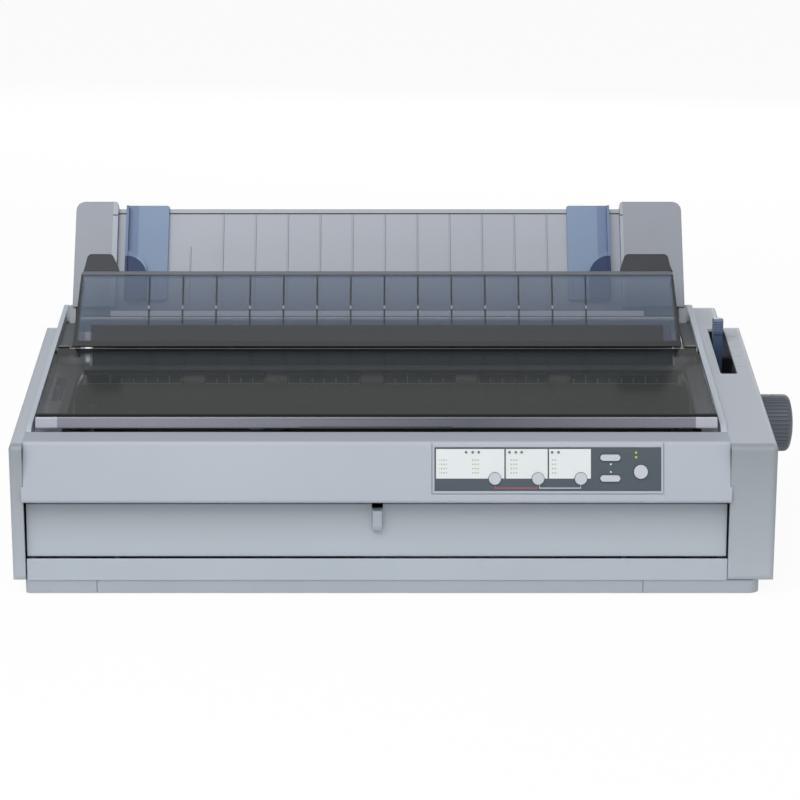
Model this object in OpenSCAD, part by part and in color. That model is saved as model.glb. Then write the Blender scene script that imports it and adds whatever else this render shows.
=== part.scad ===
// Wide-carriage dot matrix printer: hinged smoked covers, a folding sheet guide
// with sliding edge guides, and the printing mechanism under them.
// Millimetres. In the modules x counts from the middle of the body, y from its
// front edge and z from the table; at_body() then centres the whole printer.

/* [Body] */
// Width over both side covers
body_w = 597; // [580:1:620]
// Depth from the fascia to the back
body_d = 402; // [396:1:412]
// Height of the deck at the front edge
deck_front = 120.5; // [118:0.5:123]
// Slope of the deck, in degrees
deck_slope = 9.5; // [9:0.1:10]
// Wall thickness of the mouldings
wall = 3; // [2.6:0.1:3.4]
// Height of the base band above the table
base_h = 12; // [11:0.5:13]
// Height of the rubber feet
foot_h = 1.5; // [1.5:0.5:4]
// Width of the left side cover
left_cover_w = 10.5; // [9:0.5:12]
// Width of the right side cover, which holds the lever
right_cover_w = 36.5; // [35:0.5:38]

/* [Front] */
// Height of the fascia's lower edge
fascia_z = 76.5; // [76:0.5:78]
// How far the fascia leans back
fascia_lean = 13; // [11:0.5:15]
// Front edge of the cover opening
opening_y = 32; // [31:0.5:34]
// Height of the seam under the front cover
sill_h = 29.7; // [28:0.1:31]
// Width of the control panel
panel_w = 176; // [172:1:182]
// Height of the control panel
panel_h = 34; // [33:0.5:35]
// Radius of the small round buttons
button_r = 4.7; // [4:0.1:5]
// Radius of the large round button
big_button_r = 5.4; // [5:0.1:5.6]
// Travel of a button
button_travel = 1.2; // [0.8:0.1:1.4]

/* [Covers] */
// Line of the printer cover's hinge rod behind the front edge
hinge_y = 192; // [191:0.5:194]
// Radius of the hinge rod
hinge_rod_r = 2; // [1.6:0.1:2.2]
// Thickness of the smoked covers
cover_t = 2.5; // [2:0.1:2.6]
// Height of the rounded front lip of the printer cover
lip_h = 9.8; // [9:0.1:11]
// Length of the sheet cover along its slope
sheet_cover_l = 67; // [62:1:70]
// Angle at which the sheet cover stands
sheet_cover_tilt = 59.3; // [58:0.1:61]
// Spacing of the ribs on the sheet cover and the sheet guide
rib_pitch = 28.5; // [28:0.1:29]

/* [Sheet guide] */
// Length of the sheet guide along its slope
guide_l = 109; // [100:1:112]
// Angle at which the sheet guide stands
guide_tilt = 57.5; // [56:0.1:59]
// Width of the sheet guide's left ear
left_ear_w = 37; // [35:0.5:39]
// Width of the sheet guide's right ear
right_ear_w = 54; // [52:0.5:56]
// Width of an edge guide
edge_guide_w = 37; // [33:0.5:38]

/* [Paper feed] */
// Radius of the platen
platen_r = 17; // [16.5:0.1:17]
// Radius of the platen shaft
platen_shaft_r = 5; // [4.5:0.1:5.5]
// Radius of the paper feed knob
knob_r = 24.4; // [23:0.1:26]
// Length of the paper feed knob
knob_l = 40; // [36:1:42]
// Module of the feed gears
gear_m = 1; // [1:0.01:1.01]
// Teeth of the platen, idler and tractor gears
feed_teeth = 60; // [58:2:62]
// Teeth of the motor pinion
pinion_teeth = 15; // [14:1:16]
// Width of the feed gears
gear_w = 5; // [4:0.5:5.5]
// Radius of the tractor drive shaft
tractor_shaft_r = 4.5; // [4:0.1:5]

/* [Carriage] */
// Radius of the carriage rod
carriage_rod_r = 6; // [5:0.1:6.5]
// Width of the carriage
carriage_w = 70; // [66:1:74]
// Place of the carriage at rest
carriage_x = -150; // [-160:1:0]
// Radius of the belt pulleys
pulley_r = 8; // [7:0.1:8.5]
// Width of the ribbon cartridge
cartridge_w = 118; // [112:1:120]

/* [Lever] */
// Length of the paper release lever from its pivot
lever_l = 76; // [72:1:78]
// Width of the lever across the slot
lever_w = 8; // [7:0.5:9]

/* [Fits] */
// Radial clearance of shafts and pins
fit = 0.08; // [0.05:0.01:0.1]
// Gap between pieces that move past each other
gap = 0.3; // [0.25:0.05:0.4]

/* [Hidden] */
$fn = 48;

// Middle, seams and opening
half_w = body_w / 2;
knob_gap = 2;
knob_x = [half_w + knob_gap, half_w + knob_gap + knob_l];
body_x = -(knob_x[1] - half_w) / 2;
seam_l = -half_w + left_cover_w;
seam_r = half_w - right_cover_w;
left_rail = 4;
right_rail = 5;
open_l = seam_l + left_rail;
open_r = seam_r - right_rail;
open_mid = (open_l + open_r) / 2;
column_y = 4;
column_r = 5;
rail_h = 2.5;
shoulder_y = 250;
rear_step_y = 296;
rear_deck = 132;
rear_lip = 126;
eps = 0.01;

function deck(y) = deck_front + y * tan(deck_slope);
function unit(v) = v / norm(v);
function turn(a) = a > 180 ? a - 360 : a < -180 ? a + 360 : a;

// Arc that rounds the corner p between its neighbours a and b
function fillet(a, p, b, r, steps = 5) = r <= 0 ? [p] :
    let (u = unit(a - p), v = unit(b - p), half = acos(u * v) / 2,
         c = p + unit(u + v) * r / sin(half),
         s = p + u * r / tan(half) - c, e = p + v * r / tan(half) - c,
         a0 = atan2(s.y, s.x), sweep = turn(atan2(e.y, e.x) - a0))
    [for (k = [0:steps]) c + r * [cos(a0 + sweep * k / steps), sin(a0 + sweep * k / steps)]];

// Outline with each corner rounded to its own radius
function rounded(pts, radii) = let (n = len(pts))
    [for (i = [0:n - 1]) each fillet(pts[(i + n - 1) % n], pts[i], pts[(i + 1) % n], radii[i])];

// Range v measured from a
function span(a, v) = [for (k = v) a + k];

function corners(x, y) = [[x[0], y[0]], [x[1], y[0]], [x[1], y[1]], [x[0], y[1]]];

// Trapezoid teeth, slim enough to run with a little backlash
function gear_outline(teeth, m) = let (p = 360 / teeth, rp = teeth * m / 2)
    [for (i = [0:teeth - 1]) each
        [for (k = [[-0.26, -1.1], [-0.12, 0.8], [0.12, 0.8], [0.26, -1.1]])
            (rp + k[1] * m) * [cos((i + k[0]) * p), sin((i + k[0]) * p)]]];

module at_body() translate([body_x, -body_d / 2, 0]) children();
module block(x, y, z)
    translate([x[0], y[0], z[0]]) cube([x[1] - x[0], y[1] - y[0], z[1] - z[0]]);
// Side outline, drawn in y and z, carried from x[0] to x[1]
module slab(x)
    translate([x[0], 0, 0]) rotate([90, 0, 90]) linear_extrude(x[1] - x[0]) children();
module rod(x, at, r)
    translate([x[0], at[0], at[1]]) rotate([0, 90, 0]) cylinder(h = x[1] - x[0], r = r);
module post(at, z, r) translate([at[0], at[1], z[0]]) cylinder(h = z[1] - z[0], r = r);
// Plan outline carried up from z[0] to z[1]
module plan(z) translate([0, 0, z[0]]) linear_extrude(z[1] - z[0]) children();
// Leaning frame: x across, z up the slope and y straight out of its back
module leaning(at, tilt) translate([0, at[0], at[1]]) rotate([tilt - 90, 0, 0]) children();
// Flat outline drawn in x and z of a leaning frame, between two depths
module sheet(y) translate([0, y[1], 0]) rotate([90, 0, 0]) linear_extrude(y[1] - y[0]) children();
module gear(teeth, x, at, turned)
    translate([x[0], at[0], at[1]]) rotate([90, 0, 90]) rotate(turned)
        linear_extrude(x[1] - x[0]) polygon(gear_outline(teeth, gear_m));

// Housing
tray_x = [-half_w + 9.5, half_w - 10.5];
tray_y = [6.5, body_d - 2];
tray_floor = foot_h + wall;
foot_r = 9;
foot_inset = [30, 34];
back_panel_y = [tray_y[1] - wall, tray_y[1]];
back_panel_top = 84;

// Frame of the mechanism
plate_t = 2;
plate_l = open_l + 24;
plate_r = open_r - 15;
frame_y = 108;

// Fascia
fascia_run = deck(fascia_lean) - fascia_z;
fascia_tilt = atan2(fascia_lean, fascia_run);
ledge_l = 10;
ledge_drop = 3.4;
end_flare = 1.4;
flare_y = column_y - gap;
module on_fascia() translate([0, 0, fascia_z]) rotate([90 - fascia_tilt, 0, 0]) children();

// Control panel, measured across and up the fascia
panel_x = [32, 32 + panel_w];
panel_u = [10, 10 + panel_h];
panel_t = 1;
bezel_margin = [2.3, 2.6];
groove = 0.6;
button_row = 19.6;
button_x = [78.8, 112.4, 145.6];
oblong_x = 168.4;
oblong_u = [19.8, 35.9];
oblong_size = [15.6, 5];
big_button_at = [192.1, 24.9];
led_r = 1;
led_at = [[188.5, 39.9], [188.5, 36.3], [56.5, 40.1], [61.6, 40.1], [66.3, 40.1], [90.2, 40.1],
    [95.1, 40.1], [99.7, 40.1], [123.3, 40.1], [128.3, 40.1]];

// Axes of the paper feed and of the carriage
platen_at = [216, 84];
gear_play = 0.2;
feed_r = feed_teeth * gear_m / 2;
pinion_r = pinion_teeth * gear_m / 2;
idler_at = platen_at + [2 * feed_r + gear_play, 0];
tractor_at = platen_at + 2 * [2 * feed_r + gear_play, 0];
pinion_angle = 225;
pinion_turn = pinion_angle + 180 - (0.5 - pinion_angle * feed_teeth / 360) * 360 / pinion_teeth;
pinion_at = platen_at + (feed_r + pinion_r + gear_play) * [cos(pinion_angle), sin(pinion_angle)];
gear_x = [plate_l - plate_t - 2 - gear_w, plate_l - plate_t - 2];
tooth_step = 360 / feed_teeth;
rod_at = [158, 63];
tension_at = [190, 130];
lever_at = [215, 100];
lever_x = [seam_r + 9.5, seam_r + 9.5 + lever_w];
slot_x = [lever_x[0] - 1.5, lever_x[0] + 12.5];
slot_y = [145, 241];
gap_lever_at = [132, 100];

// Covers and guide
hinge_at = [hinge_y, deck(hinge_y) + 0.3];
sheet_cover_at = [hinge_y + 9, hinge_at[1] - 2.4];
guide_at = [269.5, deck(269.5) - 4];
guide_rod_at = tractor_at + [29.6, 0];
frame_back = guide_rod_at[0] + 14;

// Outline of a side cover; inset draws its inside
function case_outline(inset, back, r) = rounded([
    [column_y + inset, base_h + inset],
    [column_y + inset, deck(column_y) - inset],
    [back - inset, deck(back) - inset],
    [back + 9 - inset, rear_deck - inset],
    [body_d - inset, rear_lip - inset],
    [body_d - inset, base_h + inset]], [5, 4, 10, 8, 8, 5] - [1, 1, 1, 0, 1, 1] * r);

// Prism along the slope of the deck, with its two upper edges rounded
module deck_bar(x, radii) translate([0, -60, deck(-60)]) rotate([deck_slope, 0, 0])
    translate([0, body_d + 120, 0]) rotate([90, 0, 0]) linear_extrude(body_d + 120)
        polygon(rounded([[x[0], -190], [x[0], 0], [x[1], 0], [x[1], -190]],
            [0, radii[0], radii[1], 0]));

pin_r = 2.4;
lever_pin_r = 3;
board_z = foot_h + 11;
board_posts_x = span(open_mid, [-166.5, -66.5, 33.5, 213.5]);
board_posts_y = [226, 372];
board_x = span(open_mid, [-176.5, 223.5]);
board_y = [218, 380];
board_t = 1.6;

module base_tray() color([0.68, 0.71, 0.76]) at_body() {
    rim = 2.5;
    difference() {
        plan([foot_h, base_h]) polygon(rounded(corners(tray_x, tray_y), [4, 9, 4, 4]));
        plan([tray_floor, base_h + eps])
            polygon(rounded(corners(tray_x + [rim, -rim], tray_y + [rim, -rim]), [2, 6.5, 2, 2]));
        // Seams in the front band
        for (x = [-232.6, 196.1])
            block([x - groove / 2, x + groove / 2], [tray_y[0] - eps, tray_y[0] + groove],
                [foot_h - eps, base_h + eps]);
        // Vents under the power supply
        for (i = [0:7]) for (y = [250, 300])
            block([-230 + 12 * i, -224 + 12 * i], [y, y + 34], [foot_h - eps, tray_floor + eps]);
    }
    for (x = board_posts_x) for (y = board_posts_y)
        post([x, y], [tray_floor - eps, board_z], 4);
}

foot_x = [tray_x[0] + foot_inset[0], tray_x[1] - foot_inset[0]];
foot_y = [tray_y[0] + foot_inset[1], tray_y[1] - foot_inset[1]];
module rubber_feet() color([0.13, 0.13, 0.14]) at_body()
    for (x = foot_x) for (y = foot_y)
        translate([x, y, 0]) rotate_extrude() polygon([[0, 0], [foot_r - 1, 0], [foot_r, 1],
            [foot_r, foot_h], [0, foot_h]]);

module left_side_cover() color([0.66, 0.69, 0.73]) at_body() {
    x = [-half_w, seam_l];
    difference() {
        intersection() {
            slab(x) polygon(case_outline(0, shoulder_y, 0));
            plan([0, 260]) polygon(rounded(corners(x, [column_y, body_d]), [column_r, 0, 0, column_r]));
            deck_bar(x, [4, 0]);
        }
        slab([x[0] + wall, x[1] + eps]) polygon(case_outline(wall, shoulder_y, 2));
    }
}

module right_side_cover() color([0.66, 0.69, 0.73]) at_body() {
    x = [seam_r, half_w];
    step_x = slot_x[1];
    difference() {
        union() {
            intersection() {
                slab(x) polygon(case_outline(0, shoulder_y, 0));
                plan([0, 260]) polygon(rounded(corners(x, [column_y, body_d]), [0, column_r, column_r, 0]));
                deck_bar(x, [0, 4]);
            }
            intersection() {
                slab([x[0], step_x]) polygon(case_outline(0, rear_step_y, 0));
                deck_bar([x[0], step_x], [0, 7]);
                block(x, [column_y + column_r, body_d], [0, 260]);
            }
        }
        slab([x[0] - eps, x[1] - wall]) polygon(case_outline(wall, shoulder_y, 2));
        slab([x[0] - eps, step_x - wall]) polygon(case_outline(wall, rear_step_y, 2));
        // Slot of the release lever
        plan([deck_front, 220]) polygon(rounded(corners(slot_x, slot_y), [1.5, 1.5, 1.5, 1.5]));
        // Hole for the platen shaft
        rod([x[1] - wall - eps, x[1] + eps], platen_at, platen_shaft_r + 2);
        // Marks of the lever's four positions beside the slot
        for (i = [0:3])
            translate([0, 160 + 21 * i, deck(160 + 21 * i)]) rotate([deck_slope, 0, 0])
                block([slot_x[1] + 1.5, slot_x[1] + 8], [-0.4, 0.4], [-0.4, 1]);
    }
}

// Outline of the housing's long side walls
function rail_outline(y0, z0) = rounded([[y0, z0], [y0, deck(y0)], [y0 + 8, deck(y0 + 8) + rail_h],
    [rear_step_y, deck(rear_step_y) + rail_h], [rear_step_y + 9, rear_deck],
    [back_panel_y[0], rear_lip], [back_panel_y[0], z0]], [0, 4, 4, 9, 6, 2, 0]);

module upper_housing() color([0.71, 0.74, 0.78]) at_body() {
    shelf_drop = 8;
    shelf_y = [opening_y + ledge_l + gap, hinge_y - 8];
    shelf_l = [open_l - eps, plate_l - plate_t - gap];
    shelf_r = [plate_r + plate_t + gap, open_r + eps];
    bar_y = [rear_step_y - 4, rear_step_y + 7];
    bar_z = [146, guide_at[1] - 5];
    sill_z = [back_panel_top, back_panel_top + 10];
    pin_reach = 2;
    difference() {
        union() {
            slab([seam_l, open_l]) polygon(rail_outline(opening_y, base_h));
            slab([open_r, seam_r]) polygon(rail_outline(opening_y, tray_floor));
            // Crossbar behind the sheet guide and sill of the rear paper slot
            slab([open_l - eps, open_r + eps]) polygon(rounded(corners(bar_y, bar_z), [2, 2, 3, 3]));
            slab([open_l - eps, open_r + eps])
                polygon(rounded(corners(back_panel_y - [10, 0], sill_z), [1, 1, 3, 4]));
            // Shelves under the edges of the printer cover
            for (x = [shelf_l, shelf_r]) slab(x) polygon([for (k = [[0, -2], [1, -2], [1, 0], [0, 0]])
                [shelf_y[k[0]], deck(shelf_y[k[0]]) - shelf_drop + k[1]]]);
        }
        // Seats of the hinge rod, the sheet cover, the sheet guide and the lever
        rod([open_l - pin_reach, open_r + pin_reach], hinge_at, hinge_rod_r + fit / 2);
        for (at = [sheet_cover_at, guide_at])
            rod([open_l - pin_reach, open_r + pin_reach], at, pin_r + fit);
        rod([open_r - eps, seam_r + eps], lever_at, lever_pin_r + fit);
        rod([open_r - eps, seam_r + eps], platen_at, platen_shaft_r + 1);
        rod([open_l - pin_reach, open_l + eps], gap_lever_at, lever_pin_r + fit);
        // Slot of the paper thickness lever
        block([plate_l - 18, plate_l - 10], span(gap_lever_at[0], [-22, 26]), [deck_front - 20, 150]);
    }
}

// Fascia section: slanted front, top strip and the ledge under the cover's lip
function fascia_skin() = let (in = wall / cos(fascia_tilt), top = deck_front - 0.2,
        back = opening_y, ledge = deck(opening_y) - ledge_drop)
    [[0, fascia_z], [fascia_lean, deck(fascia_lean)], [back, deck(back)], [back, ledge],
     [back + ledge_l, ledge], [back + ledge_l, top],
     [in + (top - fascia_z) * tan(fascia_tilt), top], [in + wall * tan(fascia_tilt), fascia_z + wall],
     [14, fascia_z + wall], [14, fascia_z]];
fascia_radii = [2.5, 3.5, 0.4, 0, 0, 0, 0, 0, 0, 0];
fascia_end = [[0, fascia_z], [fascia_lean, deck(fascia_lean)], [opening_y, deck(opening_y)],
    [opening_y, fascia_z]];

module front_fascia() color([0.72, 0.75, 0.79]) at_body() {
    x = [seam_l, seam_r];
    difference() {
        union() {
            intersection() {
                union() {
                    slab(x) polygon(rounded(fascia_skin(), fascia_radii));
                    for (e = [[x[0], x[0] + wall], [x[1] - wall, x[1]]])
                        slab(e) polygon(rounded(fascia_end, [2.5, 3.5, 0.4, 0]));
                }
                plan([0, 200]) polygon(rounded([[x[0], 0], [x[1], 0], [x[1], opening_y],
                    [open_r, opening_y], [open_r, 60], [open_l, 60], [open_l, opening_y],
                    [x[0], opening_y]], [5, 5, 0, 0, 0, 0, 0, 0]));
            }
            // The lower edge stands out past the columns
            intersection() {
                slab([x[0] - end_flare, x[1] + end_flare]) polygon(rounded(fascia_end, [2.5, 3.5, 0, 0]));
                plan([0, 200]) polygon(rounded(corners(x + end_flare * [-1, 1], [0, flare_y]), [3, 3, 0, 0]));
                block([x[0] - end_flare, x[1] + end_flare], [0, flare_y],
                    [fascia_z, fascia_z + fascia_run]);
            }
        }
        on_fascia() {
            // Seat of the control panel and the seam of its bezel
            block(panel_x, panel_u, [-panel_t, 3]);
            difference() {
                block(panel_x + bezel_margin[0] * [-1, 1], [panel_u[0] - bezel_margin[1], 60], [-groove, 3]);
                block(panel_x + (bezel_margin[0] - groove) * [-1, 1],
                    [panel_u[0] - bezel_margin[1] + groove, 60], [-groove - 1, 4]);
            }
            all_buttons(gap, [-wall - 2, 3]);
        }
    }
}

module button_shape(at, z, grow) post(at, z, button_r + grow);
module oblong_shape(at, z, grow) {
    side = (oblong_size[0] - oblong_size[1]) / 2;
    for (s = [-1, 1]) post(at + [s * side, 0], z, oblong_size[1] / 2 + grow);
    block(span(at[0], side * [-1, 1]), span(at[1], (oblong_size[1] / 2 + grow) * [-1, 1]), z);
}
module all_buttons(grow, z) {
    for (x = button_x) button_shape([x, button_row], z, grow);
    for (u = oblong_u) oblong_shape([oblong_x, u], z, grow);
    post(big_button_at, z, big_button_r + grow);
}
button_proud = button_travel + gap;
button_flange = 1;
// Cap through the fascia, and its retaining flange behind the wall
cap = [-wall - gap - button_flange, button_proud];
flange = [cap[0], -wall - gap];
module left_round_button() color([0.78, 0.8, 0.84]) at_body() on_fascia() round_button(button_x[0]);
module middle_round_button() color([0.78, 0.8, 0.84]) at_body() on_fascia() round_button(button_x[1]);
module right_round_button() color([0.78, 0.8, 0.84]) at_body() on_fascia() round_button(button_x[2]);
module round_button(x) {
    post([x, button_row], cap, button_r);
    post([x, button_row], flange, button_r + 1.5);
}
module oblong_button(u) {
    oblong_shape([oblong_x, u], cap, 0);
    oblong_shape([oblong_x, u], flange, 1.2);
}
module lower_oblong_button() color([0.78, 0.8, 0.84]) at_body() on_fascia() oblong_button(oblong_u[0]);
module upper_oblong_button() color([0.78, 0.8, 0.84]) at_body() on_fascia() oblong_button(oblong_u[1]);
module large_round_button() color([0.78, 0.8, 0.84]) at_body() on_fascia() {
    post(big_button_at, cap, big_button_r);
    post(big_button_at, flange, big_button_r + 1.5);
}

module control_panel() color([0.34, 0.38, 0.43]) at_body() on_fascia() difference() {
    block(panel_x + gap / 2 * [1, -1], panel_u + gap / 2 * [1, -1], [-panel_t, 0]);
    all_buttons(gap, [-2 * panel_t, 1]);
    for (at = led_at) post(at, [-2 * panel_t, 1], led_r + fit);
}

module status_leds() color([0.6, 0.75, 0.2]) at_body() on_fascia()
    for (at = led_at) post(at, [-panel_t, 0.2], led_r);

// Front cover that swings out on three knuckles behind its lower edge
front_hinge_at = [15.5, sill_h + 6.3];
front_hinge_x = [-210, 0, 190];
front_x = [seam_l + 1.2, seam_r - 1.2];
front_top = fascia_z - 2.9;
tab_x = [-16.1, -8.8];
tab_z = [52.8, 69.2];
knuckle_r = 4.5;
front_pin_r = 2;
knuckle_w = 11;

module front_sill() color([0.71, 0.74, 0.79]) at_body() {
    y = [5.5, 8];
    z = [base_h, base_h + 2.5];
    ear_w = 4;
    ear_r = 3.2;
    leg = span(front_hinge_at[0], [6.9, 11]);
    slab([seam_l + 1, seam_r - 0.3]) polygon(rounded([[y[0], z[0]], [y[0], sill_h], [y[1], sill_h],
        [y[1], z[1]], [leg[1], z[1]], [leg[1], z[0]]], [0.8, 0.8, 0.4, 0, 0, 0]));
    for (x = front_hinge_x) {
        ear = [x - knuckle_w / 2 - gap - ear_w, x - knuckle_w / 2 - gap];
        slab(ear) polygon(rounded([[leg[0], z[1]], [leg[0], front_hinge_at[1] - ear_r],
            front_hinge_at - [ear_r, ear_r], front_hinge_at + [-ear_r, ear_r],
            [leg[1], front_hinge_at[1] + ear_r], [leg[1], z[1]]], [0, 1, 3, 3, 5, 0]));
        rod([ear[1] - eps, x + knuckle_w / 2], front_hinge_at, front_pin_r);
    }
}

module front_cover() color([0.69, 0.72, 0.77]) at_body() {
    z0 = sill_h + 1.2;
    face = [8.6, 10.6];
    difference() {
        union() {
            slab(front_x) polygon(rounded([[face[0], z0], [face[1], front_top],
                [face[1] + wall, front_top], [face[0] + wall, z0]], [0.8, 1, 0, 0.4]));
            for (x = front_hinge_x) {
                rod([x - knuckle_w / 2, x + knuckle_w / 2], front_hinge_at, knuckle_r);
                block([x - knuckle_w / 2, x + knuckle_w / 2], [face[0] + wall - 1.6, front_hinge_at[0]],
                    span(front_hinge_at[1], [-2.5, 2.5]));
            }
            // Pull tab
            slab(tab_x) polygon(rounded([[face[0] + wall, tab_z[0]], [6, tab_z[0]], [4.2, tab_z[0] + 4],
                [4.2, tab_z[1]], [face[1] + 1, tab_z[1]]], [0, 1.5, 3, 1, 0]));
        }
        // Finger notch over the tab
        block(tab_x + [-0.6, 0.6], [0, 20], [tab_z[1] + 0.4, 90]);
        for (x = front_hinge_x)
            rod([x - knuckle_w, x + knuckle_w], front_hinge_at, front_pin_r + fit);
    }
}

inlet_x = span(open_r, [-87, -59]);
inlet_z = [28, 50];
port_x = [span(open_mid, [-136.5, -76.5]), span(open_mid, [-46.5, -32.5])];
port_z = [board_z + board_t, board_z + board_t + 13];
module rear_panel() color([0.64, 0.67, 0.71]) at_body() difference() {
    block([open_l, open_r], back_panel_y, [base_h, back_panel_top]);
    block(inlet_x + gap * [-1, 1], back_panel_y + [-1, 1], inlet_z + gap * [-1, 1]);
    for (x = port_x) block(x + gap * [-1, 1], back_panel_y + [-1, 1], port_z + gap * [-1, 1]);
    // Vent slots
    for (i = [0:15]) block([-20 + 9 * i, -16 + 9 * i], back_panel_y + [-1, 1], [36, 68]);
}

module power_inlet() color([0.1, 0.1, 0.11]) at_body() difference() {
    union() {
        block(inlet_x, back_panel_y + [-16, 0.5], inlet_z);
        block(inlet_x + [-2.4, 2.4], span(back_panel_y[0], [-2, 0]), inlet_z + [-3, 3]);
    }
    block(inlet_x + [2.5, -2.5], [back_panel_y[1] - 13, back_panel_y[1] + 1], inlet_z + [3, -3]);
}

module circuit_board() color([0.12, 0.32, 0.2]) at_body() {
    top = board_z + board_t;
    difference() {
        block(board_x, board_y, [board_z, top]);
        block(supply_x + [-2, 2], supply_y + [-2, 2], [board_z - 1, top + 1]);
    }
    // Connectors, capacitors and the heat sink of the head drivers
    for (x = port_x) difference() {
        block(x, [board_y[1] - 14, back_panel_y[1]], port_z - [eps, 0]);
        block(x + [2, -2], [back_panel_y[1] - 9, back_panel_y[1] + 1], port_z + [3, -3]);
    }
    for (i = [0:3]) post([-160 + 22 * i, 300], [top - eps, top + 18], 7);
    for (i = [0:5]) block([-50 + 7 * i, -47 + 7 * i], [300, 340], [top - eps, top + 16]);
    block([10, 46], [290, 326], [top - eps, top + 3]);
}

supply_x = span(open_r, [-147, -61]);
supply_y = [240, 340];
module power_supply() color([0.62, 0.64, 0.66]) at_body() difference() {
    block(supply_x, supply_y, [tray_floor, 54]);
    for (i = [0:7]) block([supply_x[0] + 6 + 10 * i, supply_x[0] + 11 + 10 * i],
        supply_y + [12, -12], [52.5, 55]);
}

// Printer cover: smoked shell with a rounded front lip, on two end knuckles
cover_x = [open_l + 3, open_r - 2.5];
cover_lip_y = opening_y + 4.2;
cover_top_y = cover_lip_y + 3;
cover_low = deck(opening_y) - ledge_drop + 0.3 + 4.4;
cover_rear_y = hinge_y - 5;
cover_rear_z = hinge_at[1] + 3.2;
cover_knuckle_r = 4.2;
cover_knuckle_w = 9;
module printer_cover() color([0.27, 0.28, 0.29]) at_body() {
    high = cover_low + lip_h;
    skin = [[cover_lip_y, cover_low], [cover_top_y, high], [cover_rear_y, cover_rear_z],
        [cover_rear_y, cover_rear_z - cover_t], [cover_top_y + 2, high - cover_t],
        [cover_lip_y + cover_t, cover_low]];
    skirt = [[cover_lip_y, cover_low], [cover_top_y, high], [cover_rear_y, cover_rear_z],
        [cover_rear_y, cover_rear_z - 5], [cover_top_y + 8, cover_low]];
    difference() {
        union() {
            slab(cover_x) polygon(rounded(skin, [1, 5, 0.6, 0.4, 3, 0.4]));
            for (x = [[cover_x[0], cover_x[0] + 2], [cover_x[1] - 2, cover_x[1]]])
                slab(x) polygon(rounded(skirt, [1, 5, 0.6, 1, 2]));
            for (x = [[cover_x[0], cover_x[0] + cover_knuckle_w], [cover_x[1] - cover_knuckle_w, cover_x[1]]]) {
                rod(x, hinge_at, cover_knuckle_r);
                block(x, [cover_rear_y - 2, hinge_y], [cover_rear_z - 6, cover_rear_z - 0.5]);
            }
        }
        rod(cover_x + [-1, 1], hinge_at, hinge_rod_r + fit);
        // Finger grip under the lip
        block([open_mid - 60, open_mid + 60], [cover_lip_y - 1, cover_lip_y + 1.1],
            [cover_low - 1, cover_low + 1.5]);
    }
}

module cover_hinge_rod() color([0.75, 0.76, 0.78]) at_body()
    rod([open_l - 2, open_r + 2], hinge_at, hinge_rod_r);

// Sheet guide cover, drawn in its leaning frame from the line of its pivots
sheet_cover_z = [3, 3 + sheet_cover_l];
sheet_cover_front = -4;
sheet_cover_back = sheet_cover_front + cover_t;
sheet_cover_half = span(open_r - open_mid, [-13.5, -19]);
function half_at(z) = sheet_cover_half[0] + (sheet_cover_half[1] - sheet_cover_half[0]) *
    (z - sheet_cover_z[0]) / sheet_cover_l;
cover_ribs = 14;
cover_rib_x = open_mid - 193.4;
// Trapezoid between two heights of the cover, inset from its leaning sides
module cover_band(z, y, inset, radii = [0, 0, 0, 0]) sheet(y) polygon(rounded(
    [[-half_at(z[0]) + inset, z[0]], [-half_at(z[1]) + inset, z[1]], [half_at(z[1]) - inset, z[1]],
     [half_at(z[0]) - inset, z[0]]], radii));
module sheet_guide_cover() color([0.42, 0.45, 0.5]) at_body() leaning(sheet_cover_at, sheet_cover_tilt)
    translate([open_mid, 0, 0]) {
        z = sheet_cover_z;
        y = [sheet_cover_front, sheet_cover_back];
        cover_band(z, y, 0, [0, 3, 3, 0]);
        // Stiff lower edge and rolled upper edge
        cover_band([z[0] + 0.5, z[0] + 5], y + [0.5, 1.2], 3);
        cover_band([z[1] - 3.8, z[1] - 0.4], y + [0.5, 3.4], 3);
        for (s = [0, 1]) mirror([s, 0, 0]) {
            // Side flange, its foot and the pivot pin
            sheet([y[0] + 0.5, 7]) polygon(rounded([[half_at(z[0]) - 0.5, z[0] + 0.5],
                [half_at(z[1] - 5) - 0.5, z[1] - 5], [half_at(z[1] - 5) - 2.7, z[1] - 5],
                [half_at(z[0]) - 2.7, z[0] + 0.5]], [0, 1, 1, 0]));
            sheet([y[0] + 1, 4]) polygon(corners([half_at(z[0]) - 6, half_at(z[0]) - 1], [-4, z[0] + 3]));
            rod([half_at(z[0]) - 5, open_r - open_mid + 1.6], [0, 0], pin_r);
        }
        for (i = [0:cover_ribs - 1]) {
            x = cover_rib_x - open_mid + rib_pitch * i;
            sheet([y[1] - 0.5, y[1] + 4.6]) polygon(corners([x - 0.7, x + 0.7], [z[0] + 17, z[1] - 2]));
        }
    }

// Dark raised stops on the ends of the sheet cover's upper edge
module cover_end_stops() color([0.27, 0.29, 0.32]) at_body()
    leaning(sheet_cover_at, sheet_cover_tilt) {
        z = sheet_cover_z[1];
        for (x = [span(open_l, [20.5, 24, 44.5, 51.4]), span(open_r, [-64, -59, -23, -19])])
            sheet([sheet_cover_front, sheet_cover_back + 3]) polygon(rounded([[x[0], z], [x[0] + 1, z + 4],
                [x[1], z + 15.5], [x[2], z + 15.5], [x[3] - 2, z + 5], [x[3], z]], [0, 3, 4, 4, 5, 0]));
    }

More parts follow.
